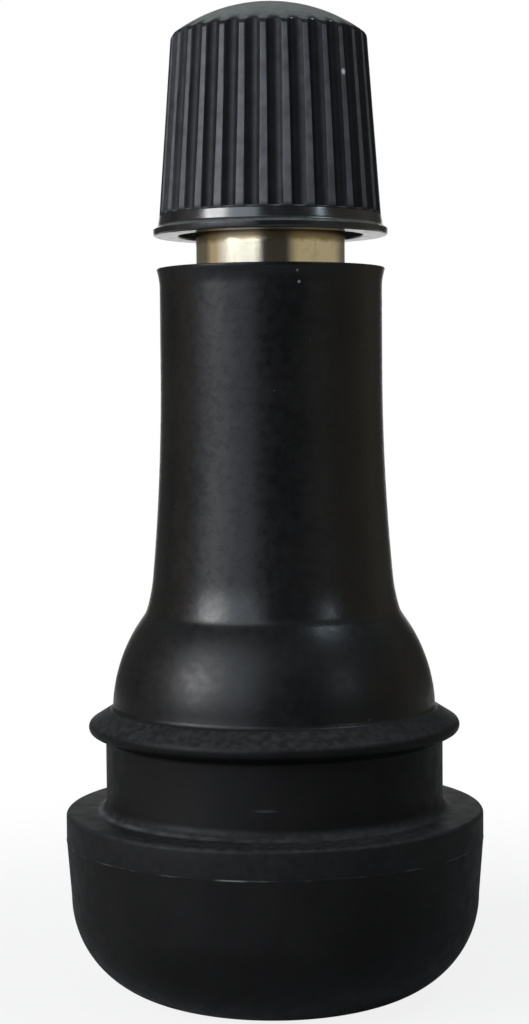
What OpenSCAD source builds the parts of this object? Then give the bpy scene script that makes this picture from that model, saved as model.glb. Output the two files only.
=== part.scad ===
// Snap-in tyre valve: a rubber body bonded to a brass stem, with a valve core and a screw cap.
// Sizes are in millimetres. The origin is the centre of the foot, and +Z runs up the stem.
// Threads are drawn as plain cylinders at the diameters that run on each other.

/* [Rubber body] */
// Diameter of the base, which stays inside the wheel
base_d = 19.2; // [17.5:0.1:22]
// Height of the base, from the foot up to its sealing face
base_h = 8.4; // [7.4:0.05:9.4]
// Radius of the round between the foot and the side of the base
base_round = 4.5; // [3:0.1:5]
// How far the side of the base leans in below the mould's parting line
base_lean = 0.2; // [0.05:0.05:0.4]
// Depth of the parting line below the sealing face
parting_drop = 1.3; // [0.6:0.05:2]
// Radius of the edge round the sealing face
base_edge = 0.1; // [0.05:0.05:0.5]
// Diameter of the groove that the wheel's hole grips
groove_d = 15.45; // [14:0.05:16]
// Radius at the bottom of the groove
groove_fillet = 0.5; // [0.1:0.05:0.8]
// Diameter of the retaining ring above the groove
ring_d = 17; // [16.4:0.05:18]
// Height of the ring's crest above the sealing face
ring_rise = 3.85; // [3.4:0.01:4.6]
// Radius of the ring's crest
ring_crest = 0.34; // [0.2:0.02:0.5]
// Slope of the ring's lower flank, from level
ring_low_slope = 25; // [15:1:50]
// Slope of the ring's upper flank, from level
ring_high_slope = 32; // [15:1:45]
// Diameter of the round shoulder above the ring
bulb_d = 14.8; // [13.6:0.05:15.2]
// Height of the shoulder's centre above the sealing face
bulb_rise = 4.45; // [4:0.05:5.5]
// Radius of the bend between the shoulder and the shaft's flare
bulb_bend = 1.2; // [0.6:0.1:2.5]
// Radius of the flare at the foot of the shaft
shaft_flare = 8.2; // [5:0.1:12]
// Slope of the flare at its foot, from upright
flare_slope = 16; // [8:1:24]
// Diameter of the rubber shaft at the top of its flare
shaft_low_d = 10.9; // [10.2:0.05:11.6]
// Diameter of the rubber shaft at its waist
shaft_waist_d = 10.1; // [9.4:0.05:10.8]
// Distance of the waist below the top of the rubber
waist_drop = 4.6; // [2:0.1:10]
// Length of brass that stands bare above the rubber
bare_l = 9.46; // [9:0.01:12]
// How far the lip at the top of the rubber stands out from the waist
lip_out = 0.15; // [0.05:0.01:0.4]
// Height over which the lip flares
lip_h = 0.9; // [0.4:0.1:1.5]
// Diameter of the air hole at the foot
foot_hole_d = 4.8; // [3.6:0.1:6]
// Diameter of the air hole where it meets the brass
inner_hole_d = 3.4; // [3:0.1:4]

/* [Brass stem] */
// Height of the stem's mouth above the foot
stem_h = 42.5; // [38:0.1:61.5]
// Outer diameter of the cap thread
thread_d = 7.7; // [7.4:0.05:7.8]
// Pitch of the cap thread, which sets the length of its run-out
thread_pitch = 0.794; // [0.7:0.002:1]
// Length of the cap thread below the mouth
thread_l = 7.6; // [6.6:0.1:8]
// Diameter of the smooth shank below the thread
shank_d = 6.8; // [6.4:0.05:7.1]
// Width of the chamfer round the mouth
mouth_chamfer = 0.5; // [0.3:0.05:0.7]
// Diameter of the flange at the foot of the brass
flange_d = 9.2; // [8:0.1:10.5]
// Thickness of that flange
flange_t = 1.2; // [0.8:0.1:1.6]
// Height of the flange above the foot
flange_z = 5; // [4.2:0.1:6]
// Height of the cone between flange and shank
flange_cone_h = 1.4; // [0.8:0.1:2]
// Number of keying grooves that lock the rubber to the shank
key_count = 4; // [2:1:5]
// Distance between keying grooves
key_pitch = 1.6; // [1.2:0.1:1.8]
// Width of a keying groove
key_w = 0.8; // [0.5:0.1:1]
// Depth of a keying groove
key_depth = 0.35; // [0.2:0.05:0.4]
// Height of the first keying groove above the flange
key_rise = 5; // [4:0.5:7]
// Diameter of the air bore below the core
air_bore_d = 2.8; // [2.2:0.1:3.2]

/* [Valve core] */
// Outer diameter of the plug's thread
plug_d = 5.1; // [4.9:0.05:5.3]
// Length of the plug's thread
plug_thread_l = 3.4; // [2.6:0.1:4]
// Depth of the plug's top below the mouth
plug_recess = 1.1; // [0.9:0.1:1.8]
// Height of the two tangs that a core key turns
tang_h = 1.8; // [1.2:0.1:2.2]
// Diameter across the tangs
tang_d = 4.1; // [3.6:0.1:4.3]
// Width of the tangs
tang_w = 2.3; // [1.8:0.1:2.6]
// Diameter of the hole through the plug
plug_hole_d = 1.9; // [1.75:0.05:2.1]
// Diameter of the neck that the barrel swivels on
swivel_neck_d = 2.7; // [2.5:0.05:2.9]
// Diameter of the bead that keeps the barrel on the plug
swivel_bead_d = 3.3; // [3.1:0.05:3.4]
// Height of the swivel's neck
swivel_neck_h = 0.6; // [0.5:0.05:0.8]
// Height of the swivel's bead
swivel_bead_h = 0.7; // [0.5:0.05:0.9]
// Outer diameter of the barrel's head
barrel_head_d = 4.2; // [4:0.05:4.4]
// Outer diameter of the barrel
barrel_d = 3; // [2.8:0.05:3.2]
// Wall of the barrel
barrel_wall = 0.3; // [0.2:0.02:0.35]
// Length of the barrel below its head
barrel_l = 8.2; // [7.4:0.1:9]
// Thickness of the floor at the foot of the barrel
barrel_floor = 0.5; // [0.4:0.05:0.7]
// Length of the gasket round the barrel
gasket_l = 2.2; // [1.6:0.1:2.6]
// Diameter of that gasket at its top
gasket_top_d = 4.5; // [4.4:0.02:4.6]
// Diameter of that gasket at its foot
gasket_foot_d = 4; // [3.8:0.02:4.2]
// Diameter of the pin
pin_d = 0.9; // [0.7:0.05:1]
// Diameter of the pin's head
pin_head_d = 1.6; // [1.4:0.05:1.65]
// Height of the pin's head
pin_head_h = 0.8; // [0.6:0.05:1]
// Depth of the pin's tip below the mouth
pin_recess = 0.3; // [0.1:0.05:0.9]
// Travel of the pin when it is pressed
pin_stroke = 1.5; // [0.8:0.1:1.8]
// Diameter of the spring's wire
wire_d = 0.3; // [0.24:0.02:0.36]
// Turns of the spring
spring_turns = 7; // [5:0.5:9]
// Length of the spring as fitted
spring_l = 6; // [5:0.1:6.6]
// Outer diameter of the cup at the foot of the pin
cup_d = 3.3; // [3:0.05:3.4]
// Height of the cup's wall above its floor
cup_h = 1; // [0.6:0.05:1.2]
// Wall and floor of the cup
cup_t = 0.24; // [0.16:0.02:0.3]
// Thickness of the rubber seal in the cup
cup_seal_t = 1.4; // [1.3:0.05:1.8]

/* [Cap] */
// Height of the cap, from its mouth to its crown
cap_h = 10.46; // [9.8:0.02:11.6]
// Diameter of the flange round the cap's mouth
cap_flange_d = 10.64; // [10.4:0.02:11.4]
// Height of the flange's outer edge
cap_flange_h = 0.3; // [0.2:0.05:0.6]
// Height of the flange's slope
cap_slope_h = 0.6; // [0.4:0.05:1]
// Diameter over the ribs just above the flange
cap_low_d = 10.06; // [9.7:0.02:10.3]
// Diameter over the ribs at the crown's edge
cap_high_d = 8.88; // [8.7:0.02:9.5]
// Height of the crown above the ribs
crown_h = 1.5; // [1.2:0.02:2.2]
// Radius of the round between the ribs and the crown
crown_edge = 0.4; // [0.1:0.05:0.8]
// Number of ribs
rib_count = 30; // [24:1:34]
// Radius of the hollow between two ribs
hollow_r = 0.35; // [0.3:0.01:0.45]
// Depth of the hollow between two ribs
hollow_depth = 0.23; // [0.12:0.01:0.25]
// Angle of the first rib about the axis
rib_start = 2.8; // [0:0.2:11.8]
// Diameter of the counterbore at the cap's mouth
cap_mouth_d = 8.4; // [8:0.05:9]
// Depth of that counterbore
cap_mouth_h = 1.4; // [0.8:0.1:2]
// Thickness of the cap's seal
seal_t = 0.55; // [0.4:0.05:0.7]
// Outer diameter of the cap's seal
seal_d = 7.2; // [7:0.05:7.4]
// Inner diameter of the cap's seal
seal_hole_d = 4.6; // [4.4:0.05:5]
// Height of the pocket for the pin above the stem's mouth
pocket_h = 1.5; // [1.46:0.02:1.6]
// Diameter of that pocket at its top
pocket_top_d = 2.6; // [2.2:0.1:3.4]
// Thickness of the crown over the pocket
crown_t = 0.96; // [0.6:0.02:1.2]

/* [Clearances] */
// Gap between plain cylinders that stand for mating threads
thread_gap = 0.1; // [0.05:0.01:0.12]
// Gap between faces that seat on each other
seat_gap = 0.02; // [0.01:0.01:0.04]
// Running gap round pieces that turn or slide
run_gap = 0.08; // [0.05:0.01:0.1]

/* [Hidden] */
$fn = 96;
arc_steps = 12;
overlap = 1;

// Rubber body
base_r = base_d / 2;
groove_r = groove_d / 2;
bulb_r = bulb_d / 2;
shaft_r = shaft_low_d / 2;
waist_r = shaft_waist_d / 2;
rubber_h = stem_h - bare_l;
waist_z = rubber_h - waist_drop;
ring_z = base_h + ring_rise;
bulb_z = base_h + bulb_rise;

// Bend that touches the shoulder, flare that carries it on, and shaft that carries on the flare
bend_reach = shaft_r + shaft_flare - (shaft_flare - bulb_bend) * cos(flare_slope);
bend_rise = sqrt(pow(bulb_r + bulb_bend, 2) - pow(bend_reach, 2));
bend_centre = [bend_reach, bulb_z + bend_rise];
flare_centre = bend_centre + (shaft_flare - bulb_bend) * [cos(flare_slope), sin(flare_slope)];
shaft_lean = atan(2 * (shaft_r - waist_r) / (waist_z - flare_centre[1]));
shaft_foot = flare_centre - shaft_flare * [cos(shaft_lean), sin(shaft_lean)];

// Brass stem
thread_r = thread_d / 2;
shank_r = shank_d / 2;
thread_z = stem_h - thread_l;
thread_bore_r = plug_d / 2 + thread_gap;

// Valve core, from the mouth down
plug_top = stem_h - plug_recess;
plug_thread_top = plug_top - tang_h;
plug_thread_foot = plug_thread_top - plug_thread_l;
bead_top = plug_thread_foot - swivel_neck_h;
bead_foot = bead_top - swivel_bead_h;
head_top = plug_thread_foot - 2 * run_gap;
head_floor = bead_foot - run_gap;
barrel_r = barrel_d / 2;
barrel_bore_r = barrel_r - barrel_wall;
head_floor_t = barrel_floor;
gasket_top = head_floor - head_floor_t;
gasket_foot = gasket_top - gasket_l;
barrel_foot = gasket_top - barrel_l;
spring_foot = barrel_foot + barrel_floor + seat_gap;
collar_z = spring_foot + spring_l + seat_gap;
collar_h = 0.5;
collar_r = barrel_bore_r - 2 * run_gap;
spring_r = barrel_bore_r - run_gap - wire_d / 2;
floor_hole_r = pin_d / 2 + 0.3;
seat_lip_h = 0.2;
seat_lip_r = floor_hole_r + 0.45;
seat_lip_w = 0.25;
seal_face = barrel_foot - seat_lip_h - seat_gap;
cup_floor_top = seal_face - cup_seal_t;
cup_foot = cup_floor_top - cup_t;
rivet_h = 0.4;
rivet_r = pin_d / 2 + 0.35;
pin_foot = cup_foot - rivet_h;
pin_top = stem_h - pin_recess;

// Core chamber inside the stem
chamber_r = gasket_foot_d / 2 + seat_gap;
chamber_foot = pin_foot - pin_stroke - 0.4;
chamber_cone_h = 0.8;
lead_in_h = 0.5;
mouth_bore_r = thread_bore_r + 0.15;
mouth_bore_h = 0.8;

// Cap
seal_foot = stem_h + seat_gap;
seal_top = seal_foot + seal_t;
pocket_top = stem_h + pocket_h;
crown_top = pocket_top + crown_t;
cap_foot = crown_top - cap_h;
cap_edge_z = crown_top - crown_h;
cap_low_z = cap_foot + cap_flange_h + cap_slope_h;
cap_low_r = cap_low_d / 2;
cap_high_r = cap_high_d / 2;
cap_bore_r = thread_r + thread_gap;
crown_r = (pow(cap_high_r, 2) + pow(crown_h, 2)) / (2 * crown_h);
crown_centre_z = crown_top - crown_r;
cap_lean = atan((cap_low_r - cap_high_r) / (cap_edge_z - cap_low_z));

// Centre of the round between ribs and crown, as far inside the leaning side as inside the crown
edge_slope = tan(cap_lean);
edge_reach = cap_high_r - crown_edge / cos(cap_lean) + (cap_edge_z - crown_centre_z) * edge_slope;
edge_square = 1 + pow(edge_slope, 2);
edge_over = pow(crown_r - crown_edge, 2) - pow(edge_reach, 2);
edge_rise = (edge_reach * edge_slope + sqrt(pow(edge_reach * edge_slope, 2) + edge_square * edge_over)) / edge_square;
edge_centre = [edge_reach - edge_slope * edge_rise, crown_centre_z + edge_rise];
crown_start = atan2(edge_rise, edge_centre[0]);

// Points along an arc, in the plane of a turned outline
function arc(centre, r, from, to, steps = arc_steps) =
    [for (i = [0:steps]) let (a = from + (to - from) * i / steps) centre + r * [cos(a), sin(a)]];

// Side of the rubber shaft: a long hollow sweep that turns upright at the waist
function shaft_side(steps = arc_steps) =
    [for (i = [1:steps]) let (t = i / steps)
        [waist_r + (shaft_foot[0] - waist_r) * pow(1 - t, 2), shaft_foot[1] + (waist_z - shaft_foot[1]) * t]];

// Lip at the top of the rubber, which flares more the higher it goes
function lip_side(steps = 4) =
    [for (i = [0:steps]) let (t = i / steps) [waist_r + lip_out * t * t, rubber_h - lip_h * (1 - t)]];

// Half section of the base, with a round foot and a small edge at the sealing face
module base_outline() {
    side_r = base_r - base_lean;
    polygon(concat(
        [[0, 0]],
        arc([side_r - base_round, base_round], base_round, -90, 0),
        [[base_r, base_h - parting_drop]],
        arc([base_r - base_edge, base_h - base_edge], base_edge, 0, 90, 6),
        [[0, base_h]]
    ));
    translate([groove_r, base_h])
        difference() {
            translate([-overlap, -overlap]) square(groove_fillet + overlap);
            translate([groove_fillet, groove_fillet]) circle(groove_fillet);
            translate([groove_fillet, -2 * overlap]) square(2 * overlap);
        }
}

// Half section of the retaining ring, with flanks that run into the body
module ring_outline() {
    centre = [ring_d / 2 - ring_crest, ring_z];
    inward = centre[0] - groove_r + overlap;
    crest = arc(centre, ring_crest, ring_low_slope - 90, 90 - ring_high_slope, 8);
    first = crest[0];
    last = crest[len(crest) - 1];
    polygon(concat(
        [first - inward * [1, tan(ring_low_slope)]],
        crest,
        [last + inward * [-1, tan(ring_high_slope)]]
    ));
}

// Half section of the groove, the round shoulder and the shaft
module shaft_outline() {
    meet = atan2(bend_rise, bend_reach);
    polygon(concat(
        [[0, base_h - overlap], [groove_r, base_h - overlap], [groove_r, ring_z]],
        arc([0, bulb_z], bulb_r, asin((ring_z - bulb_z) / bulb_r), meet),
        arc(bend_centre, bulb_bend, meet + 180, flare_slope + 180, 4),
        arc(flare_centre, shaft_flare, flare_slope + 180, shaft_lean + 180, 6),
        shaft_side(),
        lip_side(),
        [[0, rubber_h]]
    ));
}

// Half section of the brass stem without its bore: flange, keyed shank and thread
module brass_outline() {
    key_z = flange_z + flange_t + flange_cone_h + key_rise;
    difference() {
        polygon([
            [0, flange_z],
            [flange_d / 2, flange_z],
            [flange_d / 2, flange_z + flange_t],
            [shank_r, flange_z + flange_t + flange_cone_h],
            [shank_r, thread_z - thread_pitch],
            [thread_r, thread_z],
            [thread_r, stem_h - mouth_chamfer],
            [thread_r - mouth_chamfer, stem_h],
            [0, stem_h]
        ]);
        for (i = [0:key_count - 1])
            translate([shank_r - key_depth, key_z + i * key_pitch])
                square([key_depth + overlap, key_w]);
    }
}

// Half section of the stem's bore: mouth, core thread, gasket seat, chamber and air bore
module bore_outline() {
    seat_top_r = gasket_top_d / 2 + seat_gap;
    polygon([
        [0, flange_z - overlap],
        [air_bore_d / 2, flange_z - overlap],
        [air_bore_d / 2, chamber_foot - chamber_cone_h],
        [chamber_r, chamber_foot],
        [chamber_r, gasket_foot],
        [seat_top_r, gasket_top],
        [thread_bore_r, gasket_top + lead_in_h],
        [thread_bore_r, stem_h - mouth_bore_h],
        [mouth_bore_r, stem_h - mouth_bore_h],
        [mouth_bore_r, stem_h + overlap],
        [0, stem_h + overlap]
    ]);
}

// Rubber moulding, bonded all over the buried part of the brass
module rubber_body() {
    color([0.09, 0.09, 0.095])
        rotate_extrude()
            difference() {
                union() {
                    base_outline();
                    shaft_outline();
                    ring_outline();
                }
                brass_outline();
                polygon([
                    [0, -overlap],
                    [foot_hole_d / 2, -overlap],
                    [foot_hole_d / 2, 0],
                    [inner_hole_d / 2, flange_z],
                    [inner_hole_d / 2, flange_z + flange_t / 2],
                    [0, flange_z + flange_t / 2]
                ]);
            }
}

// Turned brass stem
module brass_stem() {
    color([0.8, 0.66, 0.36])
        rotate_extrude()
            difference() {
                brass_outline();
                bore_outline();
            }
}

// Threaded plug of the core: two tangs on top, and a bead below for the barrel to swivel on
module core_plug() {
    hole_r = plug_hole_d / 2;
    chamfer = 0.3;
    color([0.82, 0.69, 0.4]) {
        rotate_extrude()
            polygon([
                [hole_r, bead_foot],
                [swivel_bead_d / 2, bead_foot],
                [swivel_bead_d / 2, bead_top],
                [swivel_neck_d / 2, bead_top],
                [swivel_neck_d / 2, plug_thread_foot],
                [plug_d / 2 - chamfer, plug_thread_foot],
                [plug_d / 2, plug_thread_foot + chamfer],
                [plug_d / 2, plug_thread_top - chamfer],
                [plug_d / 2 - chamfer, plug_thread_top],
                [hole_r, plug_thread_top]
            ]);
        difference() {
            intersection() {
                translate([0, 0, plug_thread_top - chamfer]) cylinder(d = tang_d, h = tang_h + chamfer);
                translate([-tang_d / 2, -tang_w / 2, plug_thread_top - chamfer])
                    cube([tang_d, tang_w, tang_h + chamfer]);
            }
            translate([0, 0, plug_thread_top - overlap]) cylinder(r = hole_r, h = tang_h + 2 * overlap);
        }
    }
}

// Barrel of the core: a head rolled over the plug's bead, and a tube that ends in the seat's lip
module core_barrel() {
    head_r = barrel_head_d / 2;
    cavity_r = swivel_bead_d / 2 + run_gap;
    lip_foot = bead_top + run_gap;
    color([0.78, 0.63, 0.33])
        rotate_extrude()
            polygon([
                [floor_hole_r, barrel_foot],
                [seat_lip_r, barrel_foot],
                [seat_lip_r, barrel_foot - seat_lip_h],
                [seat_lip_r + seat_lip_w, barrel_foot - seat_lip_h],
                [seat_lip_r + seat_lip_w, barrel_foot],
                [barrel_r, barrel_foot],
                [barrel_r, gasket_top],
                [head_r, gasket_top],
                [head_r, head_top],
                [swivel_neck_d / 2 + run_gap, head_top],
                [swivel_neck_d / 2 + run_gap, lip_foot],
                [cavity_r, lip_foot],
                [cavity_r, head_floor],
                [barrel_bore_r, head_floor],
                [barrel_bore_r, barrel_foot + barrel_floor],
                [floor_hole_r, barrel_foot + barrel_floor]
            ]);
}

// Tapered gasket that seals the core in the stem
module barrel_gasket() {
    color([0.55, 0.1, 0.08])
        rotate_extrude()
            polygon([
                [barrel_r, gasket_foot],
                [gasket_foot_d / 2, gasket_foot],
                [gasket_top_d / 2, gasket_top],
                [barrel_r, gasket_top]
            ]);
}

// Pin that opens the valve: round head, collar for the spring, and a riveted foot
module core_pin() {
    pin_r = pin_d / 2;
    head_r = pin_head_d / 2;
    tip = head_r / 2;
    color([0.8, 0.68, 0.42])
        rotate_extrude()
            polygon(concat(
                [[0, pin_foot], [rivet_r, pin_foot], [rivet_r, cup_foot], [pin_r, cup_foot]],
                [[pin_r, collar_z], [collar_r, collar_z], [collar_r, collar_z + collar_h]],
                [[pin_r, collar_z + collar_h], [pin_r, pin_top - pin_head_h - tip]],
                [[head_r, pin_top - pin_head_h]],
                arc([head_r - tip, pin_top - tip], tip, 0, 90, 6),
                [[0, pin_top]]
            ));
}

// Coil spring with one closed turn at each end, swept along its helix
module core_spring() {
    sides = 8;
    per_turn = 14;
    rings = ceil(spring_turns * per_turn);
    low = spring_foot + wire_d / 2;
    open_turns = spring_turns - 2;
    open_pitch = (spring_l - wire_d - 2 * wire_d) / open_turns;
    function height(turn) =
        turn < 1 ? turn * wire_d
        : turn < spring_turns - 1 ? wire_d + (turn - 1) * open_pitch
        : wire_d + open_turns * open_pitch + (turn - spring_turns + 1) * wire_d;
    function ring(i) = let (turn = spring_turns * i / rings, around = 360 * turn)
        [for (k = [0:sides - 1]) let (a = 360 * k / sides, r = spring_r + wire_d / 2 * cos(a))
            [r * cos(around), r * sin(around), low + height(turn) + wire_d / 2 * sin(a)]];
    points = [for (i = [0:rings]) each ring(i)];
    walls = [for (i = [0:rings - 1], k = [0:sides - 1]) let (j = (k + 1) % sides)
        each [[i * sides + k, i * sides + j, (i + 1) * sides + j],
            [i * sides + k, (i + 1) * sides + j, (i + 1) * sides + k]]];
    start = [[for (k = [sides - 1:-1:0]) k]];
    end = [[for (k = [0:sides - 1]) rings * sides + k]];
    color([0.75, 0.75, 0.76]) polyhedron(points, concat(start, walls, end));
}

// Brass cup at the foot of the pin
module core_cup() {
    cup_r = cup_d / 2;
    color([0.78, 0.63, 0.33])
        rotate_extrude()
            polygon([
                [pin_d / 2, cup_foot],
                [cup_r, cup_foot],
                [cup_r, cup_floor_top + cup_h],
                [cup_r - cup_t, cup_floor_top + cup_h],
                [cup_r - cup_t, cup_floor_top],
                [pin_d / 2, cup_floor_top]
            ]);
}

// Rubber seal in the cup, which closes on the barrel's lip
module cup_gasket() {
    color([0.12, 0.12, 0.12])
        translate([0, 0, cup_floor_top])
            difference() {
                cylinder(r = cup_d / 2 - cup_t, h = cup_seal_t);
                translate([0, 0, -overlap]) cylinder(r = pin_d / 2, h = cup_seal_t + 2 * overlap);
            }
}

// Rubber washer under the crown, which closes on the stem's mouth
module cap_seal() {
    color([0.14, 0.14, 0.14])
        translate([0, 0, seal_foot])
            difference() {
                cylinder(d = seal_d, h = seal_t);
                translate([0, 0, -overlap]) cylinder(d = seal_hole_d, h = seal_t + 2 * overlap);
            }
}

// Half section of the cap: flange, leaning side and crown outside; mouth, bore, seal and pocket inside
module cap_outline() {
    flange_r = cap_flange_d / 2;
    flange_edge = 0.12;
    difference() {
        polygon(concat(
            [[0, cap_foot], [flange_r - flange_edge, cap_foot], [flange_r, cap_foot + flange_edge]],
            [[flange_r, cap_foot + cap_flange_h], [cap_low_r, cap_low_z]],
            arc(edge_centre, crown_edge, cap_lean, crown_start, 6),
            arc([0, crown_centre_z], crown_r, crown_start, 90)
        ));
        polygon([
            [0, cap_foot - overlap],
            [cap_mouth_d / 2, cap_foot - overlap],
            [cap_mouth_d / 2, cap_foot + cap_mouth_h],
            [cap_bore_r, cap_foot + cap_mouth_h + cap_mouth_d / 2 - cap_bore_r],
            [cap_bore_r, seal_foot],
            [seal_d / 2 + seat_gap, seal_foot],
            [seal_d / 2 + seat_gap, seal_top],
            [seal_hole_d / 2, seal_top],
            [pocket_top_d / 2, pocket_top],
            [0, pocket_top]
        ]);
    }
}

// Round hollows between the ribs, which lean with the side and run out at the crown's edge
module rib_hollows() {
    side_l = (cap_edge_z - cap_low_z) / cos(cap_lean);
    for (i = [0:rib_count - 1])
        rotate([0, 0, rib_start + (i + 0.5) * 360 / rib_count])
            translate([cap_low_r, 0, cap_low_z])
                rotate([0, -cap_lean, 0])
                    translate([hollow_r - hollow_depth, 0, 0])
                        cylinder(r = hollow_r, h = side_l + overlap);
}

// Moulded cap
module valve_cap() {
    color([0.1, 0.1, 0.11])
        difference() {
            rotate_extrude() cap_outline();
            rib_hollows();
        }
}

rubber_body();
brass_stem();
core_plug();
core_barrel();
barrel_gasket();
core_pin();
core_spring();
core_cup();
cup_gasket();
cap_seal();
valve_cap();
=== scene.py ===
"""Tyre valve: the looks, the threads and the fine detail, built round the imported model.

Lengths are in millimetres until a mesh is made. +Z runs up the stem and -Y faces the viewer.
"""
import math

import bmesh
import bpy
import numpy as np
from mathutils import Matrix, Vector


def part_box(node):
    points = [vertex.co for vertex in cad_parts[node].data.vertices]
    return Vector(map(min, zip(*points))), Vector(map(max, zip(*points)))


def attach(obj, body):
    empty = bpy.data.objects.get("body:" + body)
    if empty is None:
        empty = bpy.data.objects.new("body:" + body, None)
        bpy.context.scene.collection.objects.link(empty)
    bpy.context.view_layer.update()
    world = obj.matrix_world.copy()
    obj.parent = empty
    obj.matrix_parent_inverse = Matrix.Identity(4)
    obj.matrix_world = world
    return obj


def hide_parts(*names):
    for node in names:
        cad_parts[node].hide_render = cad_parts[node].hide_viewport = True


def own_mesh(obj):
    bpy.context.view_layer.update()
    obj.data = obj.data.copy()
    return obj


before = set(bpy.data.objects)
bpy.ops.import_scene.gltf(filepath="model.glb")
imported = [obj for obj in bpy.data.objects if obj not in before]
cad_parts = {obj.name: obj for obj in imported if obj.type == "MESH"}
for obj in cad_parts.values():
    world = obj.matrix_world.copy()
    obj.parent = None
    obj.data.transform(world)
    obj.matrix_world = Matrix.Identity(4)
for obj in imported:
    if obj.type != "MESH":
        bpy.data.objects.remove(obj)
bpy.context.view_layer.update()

MM = 0.001
TAU = 2 * math.pi


def extent(node):
    """Largest radius, foot and top of a turned CAD node, in millimetres."""
    low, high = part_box(node)
    return high.x / MM, low.z / MM, high.z / MM


# Sizes read from the frame
BASE_R, _, RUBBER_H = extent("rubber_body")
FLANGE_R, FLANGE_Z, STEM_H = extent("brass_stem")
PLUG_R, BEAD_FOOT, PLUG_TOP = extent("core_plug")
_, SPRING_FOOT, SPRING_TOP = extent("core_spring")
SEAL_R, SEAL_FOOT, SEAL_TOP = extent("cap_seal")
CAP_FLANGE_R, CAP_FOOT, CAP_TOP = extent("valve_cap")
_, GASKET_FOOT, GASKET_TOP = extent("barrel_gasket")
_, PIN_FOOT, _ = extent("core_pin")

# Rubber body
BASE_H = 8.4
BASE_ROUND = 4.5
BASE_LEAN = 0.2
BASE_EDGE = 0.2
PARTING_Z = BASE_H - 1.3
GROOVE_R = 7.725
GROOVE_FILLET = 0.5
RING_R = 8.5
RING_Z = BASE_H + 3.85
RING_CREST = 0.34
RING_RISE = 0.7
RING_LOW_SLOPE = math.radians(25)
RING_HIGH_SLOPE = math.radians(32)
BULB_R = 7.4
BULB_Z = BASE_H + 4.45
BULB_BEND = 1.2
SHOULDER_TOP = BULB_Z + 4.55
ROUGH_FADE = (BULB_Z + 3.0, BULB_Z + 4.5)
DULL_TOP = RING_Z + RING_RISE
SHAFT_FLARE = 8.2
FLARE_SLOPE = math.radians(16)
SHAFT_R = 5.45
WAIST_R = 5.05
WAIST_Z = RUBBER_H - 4.6
LIP_OUT = 0.15
LIP_H = 0.9
FOOT_HOLE_R = 2.4
INNER_HOLE_R = 1.7
FLASH_H = 0.03
FLASH_W = 0.035
FLECK_TURN = -11
FLECK_REACH = 0.9
RUBBER_SPECKS = [(13, RUBBER_H - 0.35, 0.1), (14, RUBBER_H - 0.85, 0.09)]
SCUFF_Z = BASE_H + 1.28
SCUFF_FLAT = 8
SCUFF_TURN = -3
SCUFF_REACH = 0.7
# Heights where a painted band of light on the base fades in and fades out
PAINTED_LIGHT_FOOT = (2.5, 6.5)
PAINTED_LIGHT_TOP = (9.4, 11.4)
RUBBER_SEGMENTS = 192

# Brass stem
SHANK_R = 3.4
FLANGE_T = 1.2
FLANGE_CONE_H = 1.4
KEY_COUNT = 4
KEY_RISE = 5.0
KEY_PITCH = 1.6
KEY_W = 0.8
KEY_DEPTH = 0.35
KEY_EDGE = 0.06
BRASS_SEGMENTS = 144
STEM_THREAD_R = 3.85
STEM_THREAD_Z = STEM_H - 6.85
STEM_PITCH = 0.79375
STEM_THREAD_DEPTH = 0.47
MOUTH_CHAMFER = 0.5
AIR_BORE_R = 1.4
CHAMBER_R = 2.02
CHAMBER_FOOT = PIN_FOOT - 1.9
CHAMBER_CONE_H = 0.8
SEAT_TOP_R = 2.27
CORE_BORE_R = 2.65
LEAD_IN_H = 0.5
MOUTH_BORE_R = 2.8
MOUTH_BORE_H = 0.8

# Valve core
CORE_PITCH = 0.70556
CORE_THREAD_DEPTH = 0.36
THREAD_GAP = 0.1
PLUG_HOLE_R = 0.95
PLUG_CHAMFER = 0.3
BEAD_R = 1.65
BEAD_TOP = BEAD_FOOT + 0.7
NECK_R = 1.35
PLUG_THREAD_FOOT = BEAD_TOP + 0.6
PLUG_THREAD_TOP = PLUG_THREAD_FOOT + 3.4
TANG_R = 2.05
TANG_HALF_W = 1.15
SPRING_R = 0.97
SPRING_TURNS = 7
WIRE_R = 0.15
WIRE_SIDES = 12
WIRE_STEPS = 36
EASED_EDGE = 0.04

# Cap
CAP_FLANGE_H = 0.3
CAP_FLANGE_EDGE = 0.12
CAP_FLANGE_LEAN = math.tan(math.radians(9))
CAP_FLANGE_BEND = 0.35
CAP_LOW_Z = CAP_FOOT + 0.9
CAP_LOW_R = 5.03
CAP_HIGH_R = 4.44
CROWN_H = 1.5
CAP_EDGE_Z = CAP_TOP - CROWN_H
CROWN_R = (CAP_HIGH_R ** 2 + CROWN_H ** 2) / (2 * CROWN_H)
CROWN_EDGE = 0.4
CAP_TAPER = (CAP_LOW_R - CAP_HIGH_R) / (CAP_EDGE_Z - CAP_LOW_Z)
CAP_MOUTH_R = 4.2
CAP_MOUTH_H = 1.4
CAP_BORE_R = 3.95
SEAL_RECESS_R = SEAL_R + 0.02
POCKET_R = 2.3
POCKET_TOP_R = 1.3
POCKET_TOP = STEM_H + 1.5
RIB_COUNT = 30
RIB_START = math.radians(2.8)
RIB_SAMPLES = 18
HOLLOW_R = 0.35
HOLLOW_DEPTH = 0.23
HOLLOW_FOOT_H = 0.12
RIB_EDGE = 0.02
GRAIN_TURN = math.radians(-45)
GRAIN_Z = 41.4
GRAIN_R = 0.13
GRAIN_H = 0.09
GRAIN_DEPTH = 0.35
GRAIN_REACH = 0.2

# Camera, fitted to the outline in a picture of 529 x 1024 pixels
IMAGE_H = 1024
FOCAL_PX = 2078.8
CAMERA_BACK = 95.0
CAMERA_H = 27.305
CAMERA_TILT = math.radians(3.217)
CAMERA_YAW = math.radians(0.222)
CAMERA_ROLL = math.radians(-0.46)

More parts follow.
